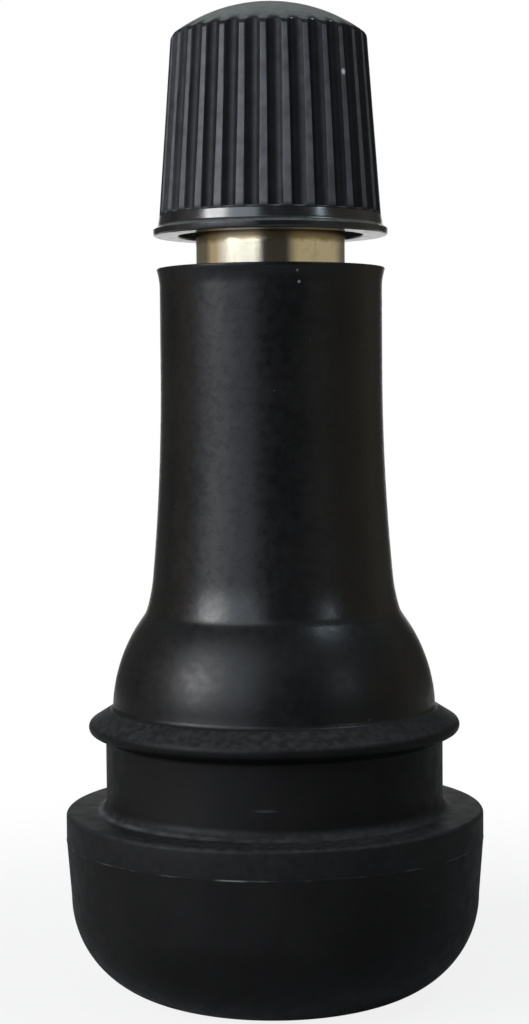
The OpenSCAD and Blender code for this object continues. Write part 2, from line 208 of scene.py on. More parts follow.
# Light: azimuths run in degrees from the viewer, with the right side positive
AIM_H = 22.0
LAMP_DISTANCE = 300.0
FLOOR_R = 130.0
FLOOR_TONE = (0.42, 0.42, 0.42)
SHADOW_FADE = (16, 50)
FLOOR_FADE = (40, 100)
WALL = (0.1, 0.1, 0.09)
WOOD = (0.38, 0.32, 0.24)
GLOW = (0.83, 0.88, 1.02)
DARK = (0.03, 0.03, 0.03)
BEIGE = (0.34, 0.31, 0.24)
CEILING = (0.3, 0.32, 0.31)
ROOM_PANELS = [(-180, WALL), (-140, WALL), (-116, WALL), (-102, WOOD), (-92, WOOD), (-70, GLOW), (-26, GLOW),
               (-10, DARK), (24, DARK), (42, BEIGE), (115, BEIGE), (140, WALL), (180, WALL)]


def arc(centre, radius, start, end, step=math.radians(6)):
    """Points along an arc of an outline, with angles in radians from +radius towards +height."""
    count = max(3, math.ceil(abs(end - start) / step))
    angles = np.linspace(start, end, count + 1)
    return [(centre[0] + radius * math.cos(a), centre[1] + radius * math.sin(a)) for a in angles]


def rounded(corners):
    """Outline from (radius, height) points; a third number rounds that corner with an arc of that radius."""
    places = [Vector(corner[:2]) for corner in corners]
    outline = []
    for i, corner in enumerate(corners):
        if len(corner) == 2:
            outline.append(tuple(corner))
            continue
        back = (places[i - 1] - places[i]).normalized()
        ahead = (places[(i + 1) % len(corners)] - places[i]).normalized()
        half = back.angle(ahead) / 2
        centre = places[i] + (back + ahead).normalized() * corner[2] / math.sin(half)
        first = places[i] + back * corner[2] / math.tan(half) - centre
        last = places[i] + ahead * corner[2] / math.tan(half) - centre
        start = math.atan2(first.y, first.x)
        swing = math.atan2(first.x * last.y - first.y * last.x, first.dot(last))
        outline += arc(centre, corner[2], start, start + swing, math.radians(15))
    return outline


def spaced(outline, low, high, gap):
    """The same outline, with rows no further apart than gap between two heights."""
    rows = [outline[0]]
    for (r0, z0), (r1, z1) in zip(outline, outline[1:]):
        count = 1
        if min(z0, z1) > low - gap / 2 and max(z0, z1) < high + gap / 2:
            count = max(1, math.ceil(math.hypot(r1 - r0, z1 - z0) / gap))
        for k in range(1, count + 1):
            rows.append((r0 + (r1 - r0) * k / count, z0 + (z1 - z0) * k / count))
    return rows


def new_mesh(name, vertices, faces):
    """Object with a clean, smooth mesh, from vertices in millimetres."""
    mesh = bpy.data.meshes.new(name)
    mesh.from_pydata((np.asarray(vertices) * MM).tolist(), [], faces)
    work = bmesh.new()
    work.from_mesh(mesh)
    bmesh.ops.remove_doubles(work, verts=work.verts, dist=1e-8)
    bmesh.ops.recalc_face_normals(work, faces=work.faces)
    work.to_mesh(mesh)
    work.free()
    mesh.shade_smooth()
    mesh.set_sharp_from_angle(angle=math.radians(50))
    made = bpy.data.objects.new(name, mesh)
    bpy.context.scene.collection.objects.link(made)
    return made


def turned(name, stretches, segments, closed=True):
    """Solid turned about Z. Each stretch is an outline and a function that shapes its radius, or None."""
    turn = np.linspace(0, TAU, segments, endpoint=False)[None, :]
    rings = []
    for outline, shape in stretches:
        rows = np.array(outline)
        radius = np.repeat(rows[:, :1], segments, axis=1)
        height = np.repeat(rows[:, 1:], segments, axis=1)
        if shape:
            radius = shape(radius, height, turn)
        rings.append(np.stack([radius * np.cos(turn), radius * np.sin(turn), height], axis=-1))
    grid = np.concatenate(rings)
    count = len(grid)
    faces = []
    for i in range(count if closed else count - 1):
        near = i * segments
        far = (i + 1) % count * segments
        for j in range(segments):
            k = (j + 1) % segments
            faces.append((near + j, near + k, far + k, far + j))
    return new_mesh(name, grid.reshape(-1, 3), faces)


def thread(height, turn, crest_r, depth, pitch):
    """Radius of a right-hand thread with flat crests and roots."""
    flat = 0.12
    phase = (height / pitch - turn / TAU) % 1
    wave = np.abs(2 * phase - 1)
    return crest_r - depth * np.clip((wave - flat) / (1 - 2 * flat), 0, 1)


def dress(piece, node, body, material):
    """Puts a piece in a CAD node's place: its body, its finish and the node it stands for."""
    piece.data.materials.append(material)
    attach(piece, body)
    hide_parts(node)


# Node helpers

def add(tree, kind, inputs=None, **options):
    """New node with its options set, and its inputs filled or linked."""
    made = tree.nodes.new(kind)
    for name, value in options.items():
        setattr(made, name, value)
    for key, value in (inputs or {}).items():
        if isinstance(value, bpy.types.NodeSocket):
            tree.links.new(value, made.inputs[key])
        else:
            made.inputs[key].default_value = value
    return made


def noise(tree, place, scale, detail=2.0):
    """Value of a noise with so many features to the millimetre."""
    inputs = {"Vector": place, "Scale": scale, "Detail": detail}
    return add(tree, "ShaderNodeTexNoise", inputs).outputs["Fac"]


def ramp(tree, value, low, high, first=0.0, last=1.0):
    """Smooth change from first to last as a value goes from low to high."""
    inputs = {"Value": value, "From Min": low, "From Max": high, "To Min": first, "To Max": last}
    return add(tree, "ShaderNodeMapRange", inputs, interpolation_type="SMOOTHSTEP").outputs["Result"]


def sums(tree, operation, *values):
    """Result of one arithmetic step."""
    return add(tree, "ShaderNodeMath", dict(enumerate(values)), operation=operation).outputs[0]


def mixed(tree, share, first, second):
    """Colour between two others, each a socket or its red, green and blue."""
    ends = [end if isinstance(end, bpy.types.NodeSocket) else (*end, 1) for end in (first, second)]
    return add(tree, "ShaderNodeMix", {0: share, 6: ends[0], 7: ends[1]}, data_type="RGBA").outputs[2]


def new_material(name):
    """Material, its tree, its shader and the piece's own coordinates in millimetres."""
    made = bpy.data.materials.new(name)
    made.use_nodes = True
    tree = made.node_tree
    own = add(tree, "ShaderNodeTexCoord").outputs["Object"]
    place = add(tree, "ShaderNodeVectorMath", {0: own, 1: (1 / MM,) * 3}, operation="MULTIPLY").outputs[0]
    return made, tree, tree.nodes["Principled BSDF"], place


def bump(tree, shader, height, depth):
    """Relief of a depth in millimetres on a shader."""
    inputs = {"Height": height, "Strength": 1.0, "Distance": depth * MM}
    tree.links.new(add(tree, "ShaderNodeBump", inputs).outputs["Normal"], shader.inputs["Normal"])


def mark(tree, place, turn, radius, height, reach):
    """1 at a spot on a turned surface, falling to 0 at its reach; the turn is in degrees from the viewer."""
    a = math.radians(turn)
    spot = (radius * math.sin(a), -radius * math.cos(a), height)
    off = add(tree, "ShaderNodeVectorMath", {0: place, 1: spot}, operation="DISTANCE").outputs["Value"]
    return ramp(tree, off, 0.3 * reach, reach, 1, 0)


def rubber_patches(tree, place, dark, light):
    """Colour of black rubber, a little uneven in broad patches."""
    return mixed(tree, ramp(tree, noise(tree, place, 0.35, 4), 0.35, 0.65), dark, light)


def body_rubber(name, gloss):
    """Black moulded rubber: low gloss, rougher on the shoulder, with faint mottling and pale specks."""
    made, tree, shader, place = new_material(name)
    height = add(tree, "ShaderNodeSeparateXYZ", {0: place}).outputs["Z"]
    colour = rubber_patches(tree, place, (0.003, 0.003, 0.0033), (0.005, 0.0048, 0.005))
    specks = ramp(tree, noise(tree, place, 5, 2), 0.76, 0.8, 0, 0.25)
    for turn, level, reach in RUBBER_SPECKS:
        specks = sums(tree, "MAXIMUM", specks, mark(tree, place, turn, WAIST_R, level, reach))
    colour = mixed(tree, specks, colour, (0.13, 0.13, 0.14))
    tree.links.new(colour, shader.inputs["Base Color"])
    uneven = ramp(tree, noise(tree, place, 2.4, 4), 0.3, 0.7, 0.25, 0.34)
    rough = sums(tree, "ADD", uneven, ramp(tree, height, *ROUGH_FADE, 0.08, 0))
    tree.links.new(rough, shader.inputs["Roughness"])
    shader.inputs["Specular IOR Level"].default_value = gloss
    waves = sums(tree, "MULTIPLY_ADD", noise(tree, place, 1.1, 2), 1.6, noise(tree, place, 4.5, 3))
    bump(tree, shader, waves, 0.0036)
    return made


def dusty_rubber_painted_light():
    """The same rubber gone dull, with dust on top, a painted band of light over the base side and lower
    groove, a painted highlight along the groove's corner, and a pale, broken parting line.
    """
    made, tree, shader, place = new_material("dusty_rubber_painted_light")
    across, _, height = add(tree, "ShaderNodeSeparateXYZ", {0: place}).outputs
    facing = add(tree, "ShaderNodeSeparateXYZ", {0: add(tree, "ShaderNodeTexCoord").outputs["Normal"]})
    clean = rubber_patches(tree, place, (0.0028, 0.0026, 0.0026), (0.0042, 0.004, 0.004))
    dull = rubber_patches(tree, place, (0.0036, 0.0034, 0.0034), (0.0052, 0.0049, 0.0048))
    # Painted light: the base side, sealing face and lower groove take the lighter tone, standing in for light
    # falling and bouncing there
    painted_light_band = sums(tree, "MULTIPLY", ramp(tree, height, *PAINTED_LIGHT_FOOT),
                   ramp(tree, height, *PAINTED_LIGHT_TOP, 1, 0))
    colour = mixed(tree, painted_light_band, clean, dull)
    brim = sums(tree, "MULTIPLY", ramp(tree, height, PARTING_Z, PARTING_Z + 0.15, 0, 0.25),
                ramp(tree, height, BASE_H, BASE_H + 0.1, 1, 0))
    upward = sums(tree, "MAXIMUM", brim, ramp(tree, facing.outputs["Z"], 0.05, 0.8))
    dust = sums(tree, "MULTIPLY", upward, ramp(tree, noise(tree, place, 3, 5), 0.3, 0.75, 0.3, 1))
    colour = mixed(tree, dust, colour, (0.0175, 0.0175, 0.0185))
    # Painted highlight along the corner at the foot of the groove, broken by noise and brighter towards the
    # left, where the light falls
    painted_corner_highlight = sums(tree, "MULTIPLY", ramp(tree, height, BASE_H + 0.005, BASE_H + 0.02),
                     ramp(tree, height, BASE_H + 0.06, BASE_H + 0.16, 1, 0))
    broken_and_lit_left = sums(tree, "MULTIPLY", ramp(tree, noise(tree, place, 0.7, 3), 0.35, 0.65, 0.2, 1),
                  ramp(tree, across, -6, 3, 1, 0.35))
    colour = mixed(tree, sums(tree, "MULTIPLY", painted_corner_highlight, broken_and_lit_left), colour, (0.045, 0.045, 0.046))
    off_line = sums(tree, "ABSOLUTE", sums(tree, "SUBTRACT", height, PARTING_Z))
    flecks = ramp(tree, noise(tree, place, 0.8, 3), 0.45, 0.7, 0.02, 0.35)
    flecks = sums(tree, "MAXIMUM", flecks, mark(tree, place, FLECK_TURN, BASE_R, PARTING_Z, FLECK_REACH))
    line = sums(tree, "MULTIPLY", ramp(tree, off_line, 0.01, 0.05, 1, 0), flecks)
    thin = {0: place, 1: (1, 1, SCUFF_FLAT)}
    flat = add(tree, "ShaderNodeVectorMath", thin, operation="MULTIPLY").outputs[0]
    scratch = mark(tree, flat, SCUFF_TURN, GROOVE_R, SCUFF_Z * SCUFF_FLAT, SCUFF_REACH)
    scuff = sums(tree, "MULTIPLY", scratch, 0.16)
    colour = mixed(tree, sums(tree, "MAXIMUM", line, scuff), colour, (0.09, 0.09, 0.092))
    tree.links.new(colour, shader.inputs["Base Color"])
    tree.links.new(ramp(tree, noise(tree, place, 1.5, 4), 0.3, 0.7, 0.48, 0.58), shader.inputs["Roughness"])
    shader.inputs["Specular IOR Level"].default_value = 0.09
    bump(tree, shader, noise(tree, place, 7, 3), 0.003)
    return made


def cap_plastic(name, gloss, roughness):
    """Black moulded plastic, a little uneven in colour and polish, with a painted pale greenish sheen on its
    crown and other upward faces.
    """
    made, tree, shader, place = new_material(name)
    colour = mixed(tree, ramp(tree, noise(tree, place, 1.2, 4), 0.3, 0.7),
                   (0.004, 0.004, 0.005), (0.0075, 0.0075, 0.009))
    facing = add(tree, "ShaderNodeSeparateXYZ", {0: add(tree, "ShaderNodeTexCoord").outputs["Normal"]})
    # Painted sheen: faces that look up are mixed towards a pale greenish grey
    dust = sums(tree, "MULTIPLY", ramp(tree, facing.outputs["Z"], 0.55, 0.9),
                ramp(tree, noise(tree, place, 3, 4), 0.3, 0.7, 0.6, 1))
    colour = mixed(tree, dust, colour, (0.075, 0.085, 0.08))
    rough = ramp(tree, noise(tree, place, 2.2, 4), 0.3, 0.7, roughness, roughness + 0.08)
    tree.links.new(colour, shader.inputs["Base Color"])
    tree.links.new(rough, shader.inputs["Roughness"])
    shader.inputs["Specular IOR Level"].default_value = gloss
    bump(tree, shader, noise(tree, place, 8, 3), 0.0012)
    return made, tree, shader, place, colour


def ribbed_plastic():
    """The same plastic on the ribs, duller, with a painted grey highlight along the crests and one pale
    grain.
    """
    made, tree, shader, place, colour = cap_plastic("ribbed_plastic", 0.12, 0.5)
    height = add(tree, "ShaderNodeSeparateXYZ", {0: place}).outputs["Z"]
    flat = add(tree, "ShaderNodeVectorMath", {0: place, 1: (1, 1, 0)}, operation="MULTIPLY").outputs[0]
    radius = add(tree, "ShaderNodeVectorMath", {0: flat}, operation="LENGTH").outputs["Value"]
    rise = sums(tree, "SUBTRACT", height, CAP_LOW_Z)
    side = sums(tree, "MULTIPLY_ADD", rise, -CAP_TAPER, CAP_LOW_R)
    below = sums(tree, "SUBTRACT", side, radius)
    crest = sums(tree, "MULTIPLY", ramp(tree, below, 0.001, 0.02, 1, 0), ramp(tree, rise, 0.02, 0.3))
    # Painted highlight: the crests are lighter grey, broken by noise
    painted_crest_highlight = sums(tree, "MULTIPLY", crest, ramp(tree, noise(tree, place, 1.6, 4), 0.25, 0.7, 0.6, 1))
    colour = mixed(tree, painted_crest_highlight, colour, (0.07, 0.07, 0.075))
    grain_turn = 90 + math.degrees(GRAIN_TURN)
    grain = mark(tree, place, grain_turn, CAP_LOW_R - GRAIN_DEPTH, GRAIN_Z, GRAIN_REACH)
    colour = mixed(tree, grain, colour, (0.6, 0.6, 0.6))
    tree.links.new(colour, shader.inputs["Base Color"])
    return made


def brass(name, bright, dull, roughness, painted_shade_z=0):
    """Turned brass: tool marks, thin upright streaks of painted dark reflection, brown tarnish in patches,
    and a band of painted brown shade round one height.
    """
    made, tree, shader, place = new_material(name)
    upright = add(tree, "ShaderNodeVectorMath", {0: place, 1: (1, 1, 0.03)}, operation="MULTIPLY").outputs[0]
    level = add(tree, "ShaderNodeVectorMath", {0: place, 1: (0.05, 0.05, 1)}, operation="MULTIPLY").outputs[0]
    # Painted reflection: thin upright dark streaks
    painted_reflection_streaks = ramp(tree, noise(tree, upright, 3.2, 3), 0.6, 0.72, 0, 0.5)
    tarnish = ramp(tree, noise(tree, place, 0.9, 5), 0.55, 0.8, 0, 0.3)
    height = add(tree, "ShaderNodeSeparateXYZ", {0: place}).outputs["Z"]
    # Painted shade: a brown band round one height, which on the stem is the foot of the cap
    off = sums(tree, "ABSOLUTE", sums(tree, "SUBTRACT", height, painted_shade_z))
    painted_shade_band = ramp(tree, sums(tree, "MULTIPLY_ADD", noise(tree, place, 2, 3), 0.4, off), 0.4, 0.7, 0.85, 0)
    tarnish_and_painted_light = sums(tree, "MAXIMUM", painted_shade_band, sums(tree, "MAXIMUM", painted_reflection_streaks, tarnish))
    tree.links.new(mixed(tree, tarnish_and_painted_light, bright, dull), shader.inputs["Base Color"])
    shader.inputs["Metallic"].default_value = 1.0
    tree.links.new(ramp(tree, tarnish_and_painted_light, 0, 1, roughness, roughness + 0.15), shader.inputs["Roughness"])
    bump(tree, shader, noise(tree, level, 14, 2), 0.0006)
    return made


def soft_rubber(name, dark, light, roughness):
    """Moulded rubber of the small seals."""
    made, tree, shader, place = new_material(name)
    tree.links.new(mixed(tree, ramp(tree, noise(tree, place, 1.5, 4), 0.3, 0.7), dark, light),
                   shader.inputs["Base Color"])
    tree.links.new(ramp(tree, noise(tree, place, 4, 3), 0.3, 0.7, roughness, roughness + 0.15),
                   shader.inputs["Roughness"])
    bump(tree, shader, noise(tree, place, 12, 3), 0.002)
    return made


def spring_steel():
    """Drawn steel wire with faint marks along it."""
    made, tree, shader, place = new_material("spring_steel")
    marks = noise(tree, place, 9, 4)
    tree.links.new(mixed(tree, ramp(tree, marks, 0.3, 0.7), (0.5, 0.5, 0.51), (0.62, 0.62, 0.63)),
                   shader.inputs["Base Color"])
    shader.inputs["Metallic"].default_value = 1.0
    tree.links.new(ramp(tree, marks, 0.3, 0.7, 0.24, 0.4), shader.inputs["Roughness"])
    bump(tree, shader, marks, 0.0008)
    return made


# Pieces

def ragged(turn):
    """Uneven height round a moulding's parting line, from 0 to 1."""
    waves = np.sin(7 * turn + 1.3) * np.sin(11 * turn + 0.4) + 0.6 * np.sin(31 * turn + 2) * np.sin(19 * turn)
    return np.clip(0.45 + 0.4 * waves, 0, 1)


def parting_flash(radius, height, turn):
    """Thin flash that stands out round the parting line."""
    ridge = np.exp(-((height - PARTING_Z) / FLASH_W) ** 2)
    return radius + FLASH_H * ridge * ragged(turn) * (radius > GROOVE_R)


def brass_keys():
    """Corners of the keying grooves round the shank, from the lowest up."""
    low = FLANGE_Z + FLANGE_T + FLANGE_CONE_H + KEY_RISE
    corners = []
    for i in range(KEY_COUNT):
        foot = low + i * KEY_PITCH
        corners += [(SHANK_R, foot, KEY_EDGE), (SHANK_R - KEY_DEPTH, foot, KEY_EDGE)]
        corners += [(SHANK_R - KEY_DEPTH, foot + KEY_W, KEY_EDGE), (SHANK_R, foot + KEY_W, KEY_EDGE)]
    return corners


def shoulder_and_shaft(start):
    """Round shoulder, the bend above it, the shaft's flare and its long sweep up to the waist."""
    reach = SHAFT_R + SHAFT_FLARE - (SHAFT_FLARE - BULB_BEND) * math.cos(FLARE_SLOPE)
    rise = math.sqrt((BULB_R + BULB_BEND) ** 2 - reach ** 2)
    meet = math.atan2(rise, reach)
    bend_z = BULB_Z + rise
    flare_z = bend_z + (SHAFT_FLARE - BULB_BEND) * math.sin(FLARE_SLOPE)
    lean = math.atan(2 * (SHAFT_R - WAIST_R) / (WAIST_Z - flare_z))
    step = math.radians(3)
    shoulder = arc((0, BULB_Z), BULB_R, start, meet, step)
    bend = arc((reach, bend_z), BULB_BEND, meet + math.pi, FLARE_SLOPE + math.pi, step)[1:]
    centre = (SHAFT_R + SHAFT_FLARE, flare_z)
    flare = arc(centre, SHAFT_FLARE, FLARE_SLOPE + math.pi, lean + math.pi, math.radians(1.5))[1:]
    foot_r, foot_z = flare[-1]
    left = 1 - np.linspace(0, 1, 17)[1:]
    sweep = [(WAIST_R + (foot_r - WAIST_R) * t ** 2, WAIST_Z - (WAIST_Z - foot_z) * t) for t in left]
    return shoulder + bend + flare + sweep


def rubber_outline():
    """Foot, base, groove, ring, shoulder, shaft and lip outside, and the shape of the brass inside."""
    side_r = BASE_R - BASE_LEAN - FLASH_H
    upper_r = BASE_R - FLASH_H
    tip_angle = (RING_LOW_SLOPE - RING_HIGH_SLOPE) / 2
    tip_reach = RING_CREST / math.cos(math.pi / 2 - (RING_LOW_SLOPE + RING_HIGH_SLOPE) / 2)
    tip_r = RING_R - RING_CREST + tip_reach * math.cos(tip_angle)
    tip_z = RING_Z + tip_reach * math.sin(tip_angle)
    low_z = tip_z - (tip_r - GROOVE_R) * math.tan(RING_LOW_SLOPE)
    high_z = tip_z + (tip_r - BULB_R) * math.tan(RING_HIGH_SLOPE)
    high_angle = math.asin((high_z - BULB_Z) / BULB_R)
    foot = arc((side_r - BASE_ROUND, BASE_ROUND), BASE_ROUND, -math.pi / 2, 0, math.radians(3))
    low = rounded([
        (FOOT_HOLE_R, 0),
        *foot,
        (upper_r - BASE_LEAN * 0.04, PARTING_Z - 3 * FLASH_W),
        (upper_r, PARTING_Z + 3 * FLASH_W),
        (upper_r, BASE_H, BASE_EDGE),
        (GROOVE_R, BASE_H, GROOVE_FILLET),
        (GROOVE_R, low_z, 0.2),
        (tip_r, tip_z, RING_CREST),
        (BULB_R * math.cos(high_angle), high_z, 0.3),
        (BULB_R * math.cos(high_angle + 0.07), BULB_Z + BULB_R * math.sin(high_angle + 0.07)),
    ])
    low = spaced(low, PARTING_Z - 3 * FLASH_W, PARTING_Z + 3 * FLASH_W, FLASH_W)
    lip = [(WAIST_R + LIP_OUT * t * t, RUBBER_H - LIP_H * (1 - t)) for t in np.linspace(0, 0.95, 7)]
    lip_r = WAIST_R + LIP_OUT
    inside = rounded([
        (lip_r - 0.02, RUBBER_H - 0.03),
        (lip_r - 0.05, RUBBER_H),
        (SHANK_R, RUBBER_H),
        *reversed(brass_keys()),
        (SHANK_R, FLANGE_Z + FLANGE_T + FLANGE_CONE_H),
        (FLANGE_R, FLANGE_Z + FLANGE_T),
        (FLANGE_R, FLANGE_Z),
        (INNER_HOLE_R, FLANGE_Z),
        (FOOT_HOLE_R - 0.06, 0.12),
        (FOOT_HOLE_R - 0.04, 0.04),
    ])
    return low + shoulder_and_shaft(high_angle + 0.12) + lip + inside


def rubber_body(clean, shoulder, dusty_painted_light):
    """Rubber moulding, bonded round the brass, dullest below its ring and shiniest above its shoulder."""
    piece = turned("valve_rubber", [(rubber_outline(), parting_flash)], RUBBER_SEGMENTS)
    dress(piece, "rubber_body", "stem", clean)
    piece.data.materials.append(shoulder)
    piece.data.materials.append(dusty_painted_light)
    for face in piece.data.polygons:
        height = face.center.z / MM
        face.material_index = int(height < SHOULDER_TOP) + int(height < DULL_TOP)


def stem_thread(radius, height, turn):
    """Cap thread, which fades where the cutter ran out and where the mouth is chamfered."""
    cut = thread(height, turn, STEM_THREAD_R, STEM_THREAD_DEPTH, STEM_PITCH)
    return np.where(height > STEM_THREAD_Z - STEM_PITCH, np.minimum(radius, cut), radius)


def bore_thread(radius, height, turn):
    """Core thread inside the stem, which clears the plug's thread by a small gap."""
    cut = thread(height, turn, PLUG_R, CORE_THREAD_DEPTH, CORE_PITCH) + THREAD_GAP
    low = GASKET_TOP + LEAD_IN_H
    high = STEM_H - MOUTH_BORE_H
    fade = np.clip((height - low) / CORE_PITCH, 0, 1) * np.clip((high - height) / 0.2, 0, 1)
    inward = np.maximum(radius - cut, 0) * fade
    return np.where((height > low) & (height < high), radius - inward, radius)


def brass_stem(material):
    """Turned stem: flange, keyed shank and cap thread outside, core thread and chamber inside."""
    outside = rounded([
        (AIR_BORE_R + 0.1, FLANGE_Z),
        (FLANGE_R, FLANGE_Z, 0.15),
        (FLANGE_R, FLANGE_Z + FLANGE_T, 0.15),
        (SHANK_R, FLANGE_Z + FLANGE_T + FLANGE_CONE_H, 0.3),
        *brass_keys(),
        (SHANK_R, STEM_THREAD_Z - STEM_PITCH - 0.1),
        (SHANK_R, STEM_THREAD_Z - STEM_PITCH, 0.1),
        (STEM_THREAD_R, STEM_THREAD_Z),
        (STEM_THREAD_R, STEM_H - MOUTH_CHAMFER),
        (STEM_THREAD_R - MOUTH_CHAMFER, STEM_H, 0.08),
        (MOUTH_BORE_R + 0.1, STEM_H),
    ])
    outside = spaced(outside, STEM_THREAD_Z - STEM_PITCH, STEM_H, STEM_PITCH / 16)
    inside = rounded([
        (MOUTH_BORE_R, STEM_H - 0.1),
        (MOUTH_BORE_R, STEM_H - MOUTH_BORE_H),
        (CORE_BORE_R, STEM_H - MOUTH_BORE_H),
        (CORE_BORE_R, GASKET_TOP + LEAD_IN_H),
        (SEAT_TOP_R, GASKET_TOP),
        (CHAMBER_R, GASKET_FOOT),
        (CHAMBER_R, CHAMBER_FOOT),
        (AIR_BORE_R, CHAMBER_FOOT - CHAMBER_CONE_H, 0.2),
        (AIR_BORE_R, FLANGE_Z + 0.1),
    ])
    inside = spaced(inside, GASKET_TOP + LEAD_IN_H, STEM_H - MOUTH_BORE_H, CORE_PITCH / 14)
    piece = turned("valve_stem", [(outside, stem_thread), (inside, bore_thread)], BRASS_SEGMENTS)
    dress(piece, "brass_stem", "stem", material)


def plug_shape(radius, height, turn):
    """Thread round the plug, and two flats that leave the tangs above it."""
    cut = thread(height, turn, PLUG_R, CORE_THREAD_DEPTH, CORE_PITCH)
    threaded = (height > PLUG_THREAD_FOOT) & (height < PLUG_THREAD_TOP) & (radius > TANG_R)
    shaped = np.where(threaded, np.minimum(radius, np.maximum(cut, TANG_R)), radius)
    tang = np.minimum(radius, TANG_HALF_W / np.maximum(np.abs(np.sin(turn)), 0.1))
    return np.where((height >= PLUG_THREAD_TOP) & (radius <= TANG_R), tang, shaped)


def core_plug(material):
    """Threaded plug of the core, with its tangs and the bead that the barrel turns on."""
    outside = rounded([
        (PLUG_HOLE_R + 0.06, BEAD_FOOT),
        (BEAD_R, BEAD_FOOT, 0.12),
        (BEAD_R, BEAD_TOP, 0.12),
        (NECK_R, BEAD_TOP, 0.05),
        (NECK_R, PLUG_THREAD_FOOT, 0.05),
        (PLUG_R - PLUG_CHAMFER, PLUG_THREAD_FOOT),
        (PLUG_R, PLUG_THREAD_FOOT + PLUG_CHAMFER),
        (PLUG_R, PLUG_THREAD_TOP - PLUG_CHAMFER),
        (PLUG_R - PLUG_CHAMFER, PLUG_THREAD_TOP),
        (TANG_R, PLUG_THREAD_TOP),
        (TANG_R, PLUG_TOP - 0.12),
        (TANG_R - 0.04, PLUG_TOP - 0.04),
        (TANG_R - 0.12, PLUG_TOP),
    ])
    outside = spaced(outside, PLUG_THREAD_FOOT, PLUG_THREAD_TOP, CORE_PITCH / 14)
    inside = [(PLUG_HOLE_R, PLUG_TOP), (PLUG_HOLE_R, BEAD_FOOT + 0.06)]
    piece = turned("core_plug_threaded", [(outside, plug_shape), (inside, None)], BRASS_SEGMENTS)
    dress(piece, "core_plug", "core_plug", material)


def core_spring(material):
    """Coil spring with a closed turn at each end, on a mesh of its own."""
    sides = WIRE_SIDES
    rings = SPRING_TURNS * WIRE_STEPS + 1
    turn = np.linspace(0, SPRING_TURNS, rings)
    low = SPRING_FOOT + WIRE_R
    high = SPRING_TOP - WIRE_R
    coil = 2 * WIRE_R
    height = np.interp(turn, [0, 1, SPRING_TURNS - 1, SPRING_TURNS], [low, low + coil, high - coil, high])
    angle = (TAU * turn)[:, None]
    section = np.linspace(0, TAU, sides, endpoint=False)[None, :]
    radius = SPRING_R + WIRE_R * np.cos(section)
    level = height[:, None] + WIRE_R * np.sin(section)
    grid = np.stack([radius * np.cos(angle), radius * np.sin(angle), level], axis=-1)
    faces = [tuple(range(sides)), tuple((rings - 1) * sides + k for k in reversed(range(sides)))]
    for i in range(rings - 1):
        for k in range(sides):
            n = (k + 1) % sides
            faces.append((i * sides + k, i * sides + n, (i + 1) * sides + n, (i + 1) * sides + k))
    piece = new_mesh("core_coil", grid.reshape(-1, 3), faces)
    dress(piece, "core_spring", "core_barrel", material)
    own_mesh(piece)


def cap_thread(radius, height, turn):
    """Thread inside the cap, which clears the stem's thread by a small gap."""
    cut = thread(height, turn, STEM_THREAD_R, STEM_THREAD_DEPTH, STEM_PITCH) + THREAD_GAP
    low = CAP_FOOT + CAP_MOUTH_H + CAP_MOUTH_R - CAP_BORE_R
    fade = np.clip((height - low) / STEM_PITCH, 0, 1) * np.clip((SEAL_FOOT - height) / 0.3, 0, 1)
    inward = np.maximum(radius - cut, 0) * fade
    return np.where((height > low) & (height < SEAL_FOOT), radius - inward, radius)


def cap_ribs(radius, height, turn):
    """Round hollows between the ribs, which run out on the crown, and one stray grain of plastic."""
    pitch = TAU / RIB_COUNT
    side = CAP_LOW_R - (height - CAP_LOW_Z) * CAP_TAPER
    across = side * pitch * (((turn - RIB_START) / pitch) % 1 - 0.5)
    depth = np.sqrt(np.maximum(HOLLOW_R ** 2 - across ** 2, 0)) - (HOLLOW_R - HOLLOW_DEPTH)
    start = np.clip((height - CAP_LOW_Z) / HOLLOW_FOOT_H, 0, 1)
    bottom = side - depth + 2 * HOLLOW_DEPTH * (1 - start)
    low = np.minimum(radius, bottom)
    soft = low - RIB_EDGE * np.log1p(np.exp(-np.abs(radius - bottom) / RIB_EDGE))
    off = ((turn - GRAIN_TURN + math.pi) % TAU - math.pi) * side
    grain = GRAIN_H * np.exp(-(off ** 2 + (height - GRAIN_Z) ** 2) / GRAIN_R ** 2)
    return np.where(height > CAP_LOW_Z, soft, radius) + grain


def crown_edge():
    """Centre of the round between ribs and crown, as far inside the leaning side as inside the crown."""
    crown_z = CAP_TOP - CROWN_R
    square = 1 + CAP_TAPER ** 2
    reach = CAP_HIGH_R - CROWN_EDGE * math.sqrt(square) + (CAP_EDGE_Z - crown_z) * CAP_TAPER
    over = (CROWN_R - CROWN_EDGE) ** 2 - reach ** 2
    rise = (reach * CAP_TAPER + math.sqrt((reach * CAP_TAPER) ** 2 + square * over)) / square
    return reach - CAP_TAPER * rise, crown_z + rise


